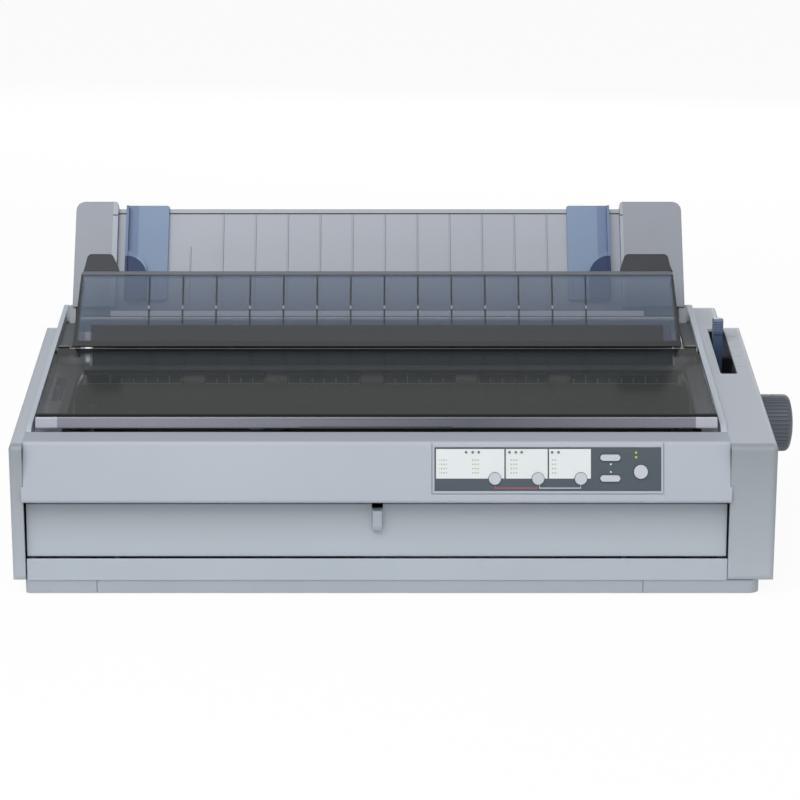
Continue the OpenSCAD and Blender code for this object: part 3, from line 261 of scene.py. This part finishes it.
sheetGuide = {"tilt": 57.5, "leftEar": 0.0395, "rightEar": 0.0565, "lineDown": 0.0126, "lineHalf": 0.0007,
              "ear": ("#878c95", "#8c909a"), "plate": ("#999fa9", "#9fa4af"), "line": "#4c5058",
              "drift": (7.0, 3.0), "rough": 0.42, "roughSpread": 0.1, "edge": 0.0008, "strength": 0.2}


# grey ears, and between them a paler plate with a dark line under its upper bar
def sheetGuideGrey():
    f = Finish("sheetGuideGrey")
    low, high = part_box("sheet_guide")
    between = (f.x > low[0] + sheetGuide["leftEar"]) * (f.x < high[0] - sheetGuide["rightEar"])
    down = (high[2] - f.z) / math.sin(math.radians(sheetGuide["tilt"]))  # along the tilted plate
    line = between * (abs(down - sheetGuide["lineDown"]) < sheetGuide["lineHalf"])
    drift = f.noise(*sheetGuide["drift"])
    ear, plate = (f.mixed(drift, *map(linear, sheetGuide[part])) for part in ("ear", "plate"))
    tone = f.mixed(line, f.mixed(between, ear, plate), linear(sheetGuide["line"]))
    return plasticSurface(f, tone, {**moulded, **sheetGuide})


# fence is the width of the outer strip of painted shade where the fence rises, footRise the height of the
# foot's straight stretch
edgeGuide = {"footRadius": 0.019, "footRise": 0.025, "fence": 0.0105, "pale": ("#798ca7", "#7f92ac"),
             "outer": "#6b7d9c", "dark": "#21345b", "rough": 0.45, "gloss": 0.25}


# pale blue slide with a deeper outer strip, painted shade where its fence rises; its dark foot is a quarter
# disc over a straight stretch, where the square across plus the square above the stretch is under the square
# of the radius
def blueGuide(name, node, outerSide):
    f = Finish(name)
    low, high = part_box(node)
    across = (f.x - low[0]) if outerSide < 0 else (high[0] - f.x)
    up = (f.z - low[2]) / math.sin(math.radians(sheetGuide["tilt"]))
    above = (up - edgeGuide["footRise"]).atLeast(0.0)
    foot = (across * across + above * above) < edgeGuide["footRadius"] ** 2
    tone = f.mixed(f.pattern("mottle"), *map(linear, edgeGuide["pale"]))
    # painted shade on the outer strip, where the fence rises
    tone = f.mixed(across < edgeGuide["fence"], tone, linear(edgeGuide["outer"]))
    tone = f.mixed(foot, tone, linear(edgeGuide["dark"]))
    return plasticSurface(f, tone, {**smallMoulded, "rough": edgeGuide["rough"]},
                          {"Specular IOR Level": edgeGuide["gloss"]})


smoked = {"lipHeight": 0.0087, "lipDepth": 0.0078, "lipMiddle": 0.04, "lipReach": 0.25,
          "endWidth": 0.017, "sideFade": 0.11, "rearShadeBand": (0.026, 0.013),
          "deepest": "#3f4241", "side": "#5a5e62", "rearShade": "#050607", "line": "#050606",
          "lip": "#4c505a", "lipSheen": "#7d7e8b", "lipEndHighlight": "#a9abb7",
          "coverage": {"sheet": 0.5, "lip": 0.46, "line": 0.48, "rear": 0.45},  # added to the sheet's
          "rough": 0.13, "roughSpread": 0.05, "edge": 0.0006, "gloss": 0.4}


# dark smoked sheet; its front lip is backed, with a black line above it and a painted sheen along it that is
# brightest on its rounded ends, paler ends, and a black rear band of painted shade by the hinge
def smokedCover():
    f = Finish("smokedCover")
    low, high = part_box("printer_cover")
    fromMiddle = abs(f.x - (low[0] + high[0]) / 2)
    ends = fromMiddle > (high[0] - low[0]) / 2 - smoked["endWidth"]
    front = f.y < low[1] + smoked["lipDepth"]
    lip = front * (f.z < low[2] + smoked["lipHeight"])
    line = front * (1 - lip)
    # painted sheen along the lip: paler away from its middle, brightest on its rounded ends
    along = abs(f.x - smoked["lipMiddle"]) / smoked["lipReach"]
    lipSheenTone = f.mixed(along, linear(smoked["lip"]), linear(smoked["lipSheen"]))
    lipSheenTone = f.mixed(ends, lipSheenTone, linear(smoked["lipEndHighlight"]))
    fade = f.ramp(f.y, low[1], low[1] + smoked["sideFade"], 1.0, 0.0)
    # painted shade: the rear band darkens to black by the hinge
    rear = f.ramp(f.y, high[1] - smoked["rearShadeBand"][0], high[1] - smoked["rearShadeBand"][1])
    tone = f.mixed(ends * fade, linear(smoked["deepest"]), linear(smoked["side"]))
    tone = f.mixed(rear, tone, linear(smoked["rearShade"]))
    tone = f.mixed(lip, tone, lipSheenTone)
    tone = f.mixed(line, tone, linear(smoked["line"]))
    alpha = smoked["coverage"]["sheet"]
    for mask, key in ((lip, "lip"), (line, "line"), (rear, "rear")):
        alpha = alpha + smoked["coverage"][key] * mask
    return f.surface(tone, wander(smoked["rough"], smoked["roughSpread"], f.pattern("ripple")),
                     f.easedEdge(smoked["edge"]), {"Alpha": alpha, "Specular IOR Level": smoked["gloss"]})


# widths and ribs in metres; heights named Up are shares of the tilted sheet, from its lower edge
slate = {"tilt": 59.3, "length": 0.067, "middle": -0.0345, "reach": 0.2560, "drawnIn": 0.0043,
         "ribs": 14, "firstRib": -0.2279, "ribPitch": 0.0285, "ribHalf": 0.0007,
         "footUp": 0.07, "deepUp": 0.28, "deepHalf": 0.242,
         "bandUp": 0.435, "bandHalfUp": 0.035, "bandHalf": 0.226,
         "glintUp": 0.52, "glintHalfUp": 0.02, "creaseUp": 0.935, "ribEndUp": 0.95, "rimUp": 0.955,
         "sideLine": 0.0022, "cloud": (6.0, 2.0), "cloudMost": 0.2,
         "tones": {"lower": "#3f4b5c", "upper": "#596981", "cloud": "#3a404b", "band": "#747c8c",
                   "deep": "#22282f", "rim": "#636973", "line": "#0c0f13", "glint": "#858c99"},
         "coverage": {"sheet": 0.7, "up": -0.14, "band": 0.1, "deep": 0.22, "line": 0.28, "rim": 0.22},
         "rough": 0.18, "roughSpread": 0.05, "edge": 0.0005, "gloss": 0.2}


# slate sheet that lets the guide behind it show; up is the height over the sheet's own rise, and a rib is
# where x, counted from the first rib, is near a whole number of pitches
def slateCover():
    f = Finish("slateCover")
    low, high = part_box("sheet_guide_cover")
    rise = slate["length"] * math.sin(math.radians(slate["tilt"]))
    up = (f.z - (high[2] - rise)) / rise
    fromMiddle = abs(f.x - slate["middle"])
    pitch = slate["ribPitch"]
    fromRib = abs((f.x - slate["firstRib"] + pitch / 2) % pitch - pitch / 2)
    ribbed = abs(f.x - slate["firstRib"] - pitch * (slate["ribs"] - 1) / 2) < pitch * slate["ribs"] / 2
    onRib = (fromRib < slate["ribHalf"]) * ribbed
    rib = onRib * (up > slate["deepUp"]) * (up < slate["ribEndUp"])
    # painted highlights: small glints on the ribs, a little over halfway up
    glint = onRib * (abs(up - slate["glintUp"]) < slate["glintHalfUp"])
    band = (abs(up - slate["bandUp"]) < slate["bandHalfUp"]) * (fromMiddle < slate["bandHalf"])
    deep = (up < slate["deepUp"]) * (up > slate["footUp"]) * (fromMiddle < slate["deepHalf"])
    foot = up < slate["footUp"]
    reach = slate["reach"] - slate["drawnIn"] * up  # the sheet is a little narrower towards its top
    sides = (fromMiddle > reach - slate["sideLine"]) * (up < slate["ribEndUp"])
    rim = up > slate["rimUp"]
    crease = (up > slate["creaseUp"]) * (1 - rim)
    line = 1 - (1 - rib) * (1 - foot) * (1 - crease) * (1 - sides)
    cloud = f.noise(*slate["cloud"]) * slate["cloudMost"]
    tones = {key: linear(colour) for key, colour in slate["tones"].items()}
    tone = f.mixed(up, tones["lower"], tones["upper"])  # the tones that follow are laid over it in turn
    for mask, key in ((cloud, "cloud"), (band, "band"), (deep, "deep"), (rim, "rim"), (line, "line"),
                      (glint, "glint")):
        tone = f.mixed(mask, tone, tones[key])
    alpha = slate["coverage"]["sheet"]
    for mask, key in ((up, "up"), (band, "band"), (deep, "deep"), (line * (1 - deep), "line"), (rim, "rim")):
        alpha = alpha + slate["coverage"][key] * mask
    return f.surface(tone, wander(slate["rough"], slate["roughSpread"], f.pattern("ripple")),
                     f.easedEdge(slate["edge"]), {"Alpha": alpha, "Specular IOR Level": slate["gloss"]})


# low and high are the scale's edges; what stands nearer than a depth is a tick or a rim
graduated = {"low": 0.1264, "high": 0.1346, "tickDepth": -0.01695, "rimDepth": -0.0165, "rimHalf": 0.0003,
             "light": "#e8eae8", "bar": ("#232526", "#3a3d3f"), "drift": (14.0, 2.0),
             "rough": 0.45, "grain": (0.0003, 2600.0, 0.15)}


# dark bar with its light tear-off scale between two light rims
def graduatedBar():
    f = Finish("graduatedBar")
    tall = (f.z > graduated["low"]) * (f.z < graduated["high"])
    ticks = (f.y < graduated["tickDepth"]) * tall
    rims = ((abs(f.z - graduated["low"]) < graduated["rimHalf"])
            + (abs(f.z - graduated["high"]) < graduated["rimHalf"]))
    scale = 1 - (1 - ticks) * (1 - rims * (f.y < graduated["rimDepth"]))
    tone = f.mixed(f.noise(*graduated["drift"]), *map(linear, graduated["bar"]))
    tone = f.mixed(scale, tone, linear(graduated["light"]))
    return f.surface(tone, graduated["rough"], f.grained(*graduated["grain"]))


# spans across in metres from the panel's left edge, spans up in shares of its height, dots in millimetres
panel = {"fields": [(0.0010, 0.0540), (0.0552, 0.0876), (0.0888, 0.1212)], "fieldUp": (0.29, 0.965),
         "dashes": [(0.0035, 0.0095), (0.0290, 0.0350), (0.0580, 0.0650), (0.0910, 0.0950)],
         "dashUp": (0.36, 0.74), "dotPitch": (2.0, 3.2), "dotSize": 1.1,
         "brackets": [((0.0465, 0.0795), "#9c4d59"), ((0.0810, 0.1135), "#a9b1b9")],
         "bracketUp": (0.060, 0.085, 0.17), "bracketLine": 0.0006,
         "marks": [(0.1361, 0.1373, 0.60, 0.635), (0.1361, 0.1373, 0.425, 0.46)],
         "film": ("#3c4750", "#444e58"), "field": "#d5dadb", "dot": "#a3a98e", "mark": "#cfe6ee",
         "rough": 0.34, "grain": (0.0003, 3000.0, 0.08)}


# slate film with three white fields, bare rows of dots, two brackets and two small marks
def panelFilm():
    f = Finish("panelFilm")
    low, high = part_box("control_panel")
    rise = high[2] - low[2]

    # 1 between left and right and between bottom and top
    def patch(left, right, bottom, top):
        return ((f.x > low[0] + left) * (f.x < low[0] + right)
                * (f.z > low[2] + rise * bottom) * (f.z < low[2] + rise * top))

    # masks that lie apart, added up
    def together(masks):
        return sum(masks[1:], masks[0])

    # a line under two buttons that turns up at both ends
    def bracket(left, right):
        bottom, lineTop, endTop = panel["bracketUp"]
        wide = panel["bracketLine"]
        return together([patch(left, right, bottom, lineTop), patch(left, left + wide, bottom, endTop),
                         patch(right - wide, right, bottom, endTop)])

    fields = together([patch(*span, *panel["fieldUp"]) for span in panel["fields"]])
    rows = together([patch(*span, *panel["dashUp"]) for span in panel["dashes"]])
    dots = rows  # kept where the place in millimetres, over its pitch, leaves less than a dot
    for place, pitch in zip((f.x, f.z), panel["dotPitch"]):
        dots = dots * ((place * 1000.0) % pitch < panel["dotSize"])
    film = f.mixed(f.pattern("mottle"), *map(linear, panel["film"]))
    tone = f.mixed(fields, film, linear(panel["field"]))
    tone = f.mixed(dots, tone, linear(panel["dot"]))
    for span, colour in panel["brackets"]:
        tone = f.mixed(bracket(*span), tone, linear(colour))
    tone = f.mixed(together([patch(*span) for span in panel["marks"]]), tone, linear(panel["mark"]))
    return f.surface(tone, panel["rough"], f.grained(*panel["grain"]))


lamps = {"greenWidth": 0.004, "lens": ("#5c6163", "#787d7f"), "lensNoise": 400.0,
         "green": ("#8f9c35", "#b3bd44"), "greenNoise": 300.0, "rough": 0.25, "edge": 0.0003}


# dark lenses over the white fields; the two beside the large button, furthest right, are green
def lampLenses():
    f = Finish("lampLenses")
    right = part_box("status_leds")[1][0]
    lens = f.mixed(f.noise(lamps["lensNoise"]), *map(linear, lamps["lens"]))
    green = f.mixed(f.noise(lamps["greenNoise"]), *map(linear, lamps["green"]))
    tone = f.mixed(f.x > right - lamps["greenWidth"], lens, green)
    return f.surface(tone, lamps["rough"], f.easedEdge(lamps["edge"]))


# top is a height, rear a depth, and the fins stand between two places along x
board = {"top": 0.0143, "rear": 0.168, "finsFrom": -0.072, "finsTo": -0.028, "mask": "#2f5a3c",
         "solder": "#b9b48c", "shell": "#9da0a3", "can": "#2a2d3a", "fins": "#8f9396",
         "specks": 260.0, "speckSize": 0.12, "rough": 0.36, "grain": (0.0, 1800.0, 0.08)}


# green board with specks of solder; above its top are dark cans, pale fins and, at the rear, sockets
def boardFinish():
    f = Finish("boardFinish")
    raised = f.z > board["top"]
    rear = raised * (f.y > board["rear"])
    fins = raised * (f.x > board["finsFrom"]) * (f.x < board["finsTo"]) * (1 - rear)
    speck = f.node("ShaderNodeTexVoronoi", {}, {"Vector": f.place, "Scale": board["specks"]}, "Distance")
    solder = (speck < board["speckSize"]) * (1 - raised)
    tone = linear(board["mask"])
    for mask, key in ((solder, "solder"), (raised, "can"), (fins, "fins"), (rear, "shell")):
        tone = f.mixed(mask, tone, linear(board[key]))
    return f.surface(tone, board["rough"], f.grained(*board["grain"]))


lever = {"topHeight": 0.013, "stem": ("#334560", "#3a4d68"), "top": "#5f6f8a"}


# dark blue lever with a paler top
def leverFinish():
    f = Finish("leverBlue")
    top = f.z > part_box("release_lever")[1][2] - lever["topHeight"]
    stem = f.mixed(f.pattern("mottle"), *map(linear, lever["stem"]))
    return plasticSurface(f, f.mixed(top, stem, linear(lever["top"])), smallMoulded)


rod = {"pin": 0.007, "bright": ("#b4b8bc", "#c6c9cc"), "dark": "#3b3e42", "rough": 0.3, "metal": 0.45}


# bright rod with dark pins at its ends
def rodSilver():
    f = Finish("rodSilver")
    low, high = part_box("cover_hinge_rod")
    pins = (f.x < low[0] + rod["pin"]) + (f.x > high[0] - rod["pin"])
    tone = f.mixed(f.pattern("ripple"), *map(linear, rod["bright"]))
    tone = f.mixed(pins, tone, linear(rod["dark"]))
    return f.surface(tone, rod["rough"], f.grained(*brushed["grain"]), {"Metallic": rod["metal"]})


fascia = {"stripBack": 0.0140, "stripDrop": 0.010, "face": ("#a3abb4", "#abb2bc"), "strip": "#9aa1a9"}


# housing grey with painted shade: a little deeper on its face, against the stronger light on its tilt, and
# deeper still on the flat strip before the cover
def fasciaShadedGrey():
    f = Finish("fasciaShadedGrey")
    low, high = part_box("front_fascia")
    # painted shade on the flat strip before the cover
    strip = (f.y > low[1] + fascia["stripBack"]) * (f.z > high[2] - fascia["stripDrop"])
    tone = f.mixed(f.pattern("cloud"), *map(linear, fascia["face"]))
    return plasticSurface(f, f.mixed(strip, tone, linear(fascia["strip"])), moulded)


finishes = {
    housingGrey: ["upper_housing", "rear_panel"],
    fasciaShadedGrey(): ["front_fascia"],
    paintedShadePlastic("columnShadedGrey", columnShade): ["left_side_cover", "right_side_cover"],
    paintedShadePlastic("doorShadedGrey", doorShade): ["front_cover"],
    mouldedPlastic("sillGrey", "#adb5bd"): ["front_sill"],
    baseGrey: ["base_tray"],
    sheetGuideGrey(): ["sheet_guide"],
    smokedCover(): ["printer_cover"],
    slateCover(): ["sheet_guide_cover"],
    darkStop: ["cover_end_stops"],
    ledgeDark: ["side_ledges"],
    knobDark: ["paper_feed_knob"],
    mechDark: ["mechanism_tray", "paper_ramp"],
    graduatedBar(): ["tension_unit"],
    mechBlack: ["left_tractor", "right_tractor", "left_tractor_flap", "right_tractor_flap", "carriage",
                "ribbon_cartridge", "power_inlet"],
    leverFinish(): ["release_lever"],
    blueGuide("leftGuideBlue", "left_edge_guide", -1): ["left_edge_guide"],
    blueGuide("rightGuideBlue", "right_edge_guide", 1): ["right_edge_guide"],
    paleBlue: ["gap_lever", "ribbon_knob"],
    panelFilm(): ["control_panel"],
    buttonGrey: ["left_round_button", "middle_round_button", "right_round_button", "lower_oblong_button",
                 "upper_oblong_button", "large_round_button"],
    lampLenses(): ["status_leds"],
    gearNatural: ["platen_gear", "feed_idler_gear", "left_sprocket", "right_sprocket", "belt_pulley",
                  "idler_pulley"],
    platenRubber: ["platen_roller", "drive_belt"],
    footRubber: ["rubber_feet"],
    rollerRubberLightened: ["tension_rollers"],
    groundSteel: ["platen_shaft", "tractor_drive_shaft", "tractor_guide_rod", "carriage_rod"],
    rodSilver(): ["cover_hinge_rod"],
    platedSteel: ["left_frame_plate", "right_frame_plate", "power_supply"],
    motorBlack: ["feed_motor", "carriage_motor"],
    cutBrass: ["feed_pinion"],
    castAluminium: ["print_head"],
    boardFinish(): ["circuit_board"],
}
for material, names in finishes.items():
    for name in names:
        for slot in nodes[name].material_slots:
            slot.material = material
print("finishes laid on", sum(len(names) for names in finishes.values()), "nodes")

# floor and tip are depths, level is a height; places shift each blade sideways and up
inletPins = {"floor": 0.1875, "tip": 0.1965, "width": 0.0040, "thick": 0.0016, "level": 0.0390,
             "places": [(-0.0070, -0.0012), (0.0, 0.0028), (0.0070, -0.0012)],
             "sides": 24, "squareness": 0.35,
             "along": (0.0, 0.80, 0.93, 1.0), "size": (1.0, 1.0, 0.85, 0.55)}


# three blades on a grid of place, step along and turn: the outline is the cosine and sine, each to a small
# power with its sign kept, and it is carried from the inlet's floor to the tip, where it is drawn in
def inletPinSet():
    low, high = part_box("power_inlet")
    turn = np.linspace(0, 2 * math.pi, inletPins["sides"], endpoint=False)
    cosine, sine = np.cos(turn), np.sin(turn)
    outlineX = np.sign(cosine) * np.abs(cosine) ** inletPins["squareness"] * inletPins["thick"] / 2
    outlineZ = np.sign(sine) * np.abs(sine) ** inletPins["squareness"] * inletPins["width"] / 2
    shift = np.array(inletPins["places"])[:, None, None]
    size = np.array(inletPins["size"])[:, None]
    along = np.array(inletPins["along"])[:, None]
    grid = np.empty((len(shift), len(size), len(turn), 3))
    grid[..., 0] = (low[0] + high[0]) / 2 + shift[..., 0] + size * outlineX
    grid[..., 1] = inletPins["floor"] + (inletPins["tip"] - inletPins["floor"]) * along
    grid[..., 2] = inletPins["level"] + shift[..., 1] + size * outlineZ
    number = np.arange(grid.size // 3).reshape(grid.shape[:-1])
    following = np.roll(number, -1, axis=2)
    walls = np.stack([number[:, :-1], number[:, 1:], following[:, 1:], following[:, :-1]], axis=-1)
    faces = walls.reshape(-1, 4).tolist() + number[:, 0].tolist() + number[:, -1, ::-1].tolist()
    mesh = bpy.data.meshes.new("inletPins")
    mesh.from_pydata(grid.reshape(-1, 3).tolist(), [], faces)
    mesh.validate()
    pins = placed("inletPins", mesh)
    mesh.materials.append(brushedMetal("pinSteel", "#c9c7bf", 0.25))
    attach(pins, "housing")


inletPinSet()
print("inlet pins made")

plainWhite = (1.0, 1.0, 1.0, 1.0)
studio = {"floorSize": 14.0, "floorColour": "#f4f5f6", "floorWhite": 0.93, "sky": 0.42}
softLamps = {  # metres and watts
    "keyLamp": {"place": (-0.5, -1.4, 2.0), "target": (0.0, -0.05, 0.1), "size": (2.4, 1.4), "power": 40.0},
    "fillLamp": {"place": (0.3, -2.6, 1.1), "target": (0.0, -0.2, 0.1), "size": (2.0, 0.8), "power": 7.0},
    "backLamp": {"place": (0.4, 2.6, 0.75), "target": (0.0, 0.1, 0.1), "size": (2.4, 0.5), "power": 20.0},
}
# two metres from the front edge and 14.5 degrees above it; pitch is counted from straight down
eye = {"place": (-0.0236, -2.0985, 0.6506), "pitch": 75.5, "lens": 114.84, "sensor": 36.0, "shift": 0.0125}


# pale sheet under the printer; camera and gloss see it near white, and it keeps the shadow
def studioFloor():
    half = studio["floorSize"] / 2
    mesh = bpy.data.meshes.new("studioFloor")
    corners = [(-half, -half, 0), (half, -half, 0), (half, half, 0), (-half, half, 0)]
    mesh.from_pydata(corners, [], [(0, 1, 2, 3)])
    floor = placed("studioFloor", mesh)
    f = Finish("studioFloor")
    seen = (f.node("ShaderNodeLightPath", {}, {}, "Is Camera Ray")
            + f.node("ShaderNodeLightPath", {}, {}, "Is Glossy Ray"))
    matt = f.node("ShaderNodeBsdfDiffuse", {}, {"Color": linear(studio["floorColour"])})
    white = f.node("ShaderNodeEmission", {}, {"Color": plainWhite, "Strength": 1.0})
    share = seen * studio["floorWhite"]
    mesh.materials.append(f.closedWith(f.node("ShaderNodeMixShader", {}, {0: share, 1: matt, 2: white})))


# soft even sky for the object, plain white for the camera
def studioWorld():
    w = Finish("studioWorld", "World")
    seen = w.node("ShaderNodeLightPath", {}, {}, "Is Camera Ray")
    sky = w.node("ShaderNodeBackground", {}, {"Color": plainWhite, "Strength": studio["sky"]})
    white = w.node("ShaderNodeBackground", {}, {"Color": plainWhite, "Strength": 1.0})
    shader = w.node("ShaderNodeMixShader", {}, {0: seen, 1: sky, 2: white})
    bpy.context.scene.world = w.closedWith(shader)


# a rectangle of light, tilted up from straight down and swung round until it faces its target
def softLamp(name, place, target, size, power):
    light = bpy.data.lights.new(name, "AREA")
    light.shape = "RECTANGLE"
    light.size, light.size_y = size
    light.energy = power
    dx, dy, dz = (t - p for t, p in zip(target, place))
    holder = placed(name, light)
    holder.location = place
    holder.rotation_euler = (math.atan2(math.hypot(dx, dy), -dz), 0.0, math.atan2(dy, dx) - math.pi / 2)


def photoCamera():
    lens = bpy.data.cameras.new("photoCamera")
    lens.lens = eye["lens"]
    lens.sensor_width = eye["sensor"]
    lens.shift_x = eye["shift"]
    camera = placed("photoCamera", lens)
    camera.location = eye["place"]
    camera.rotation_euler = (math.radians(eye["pitch"]), 0.0, 0.0)
    bpy.context.scene.camera = camera


studioFloor()
studioWorld()
for name, lamp in softLamps.items():
    softLamp(name, **lamp)
photoCamera()
bpy.context.scene.view_settings.view_transform = "Standard"
print("studio set")
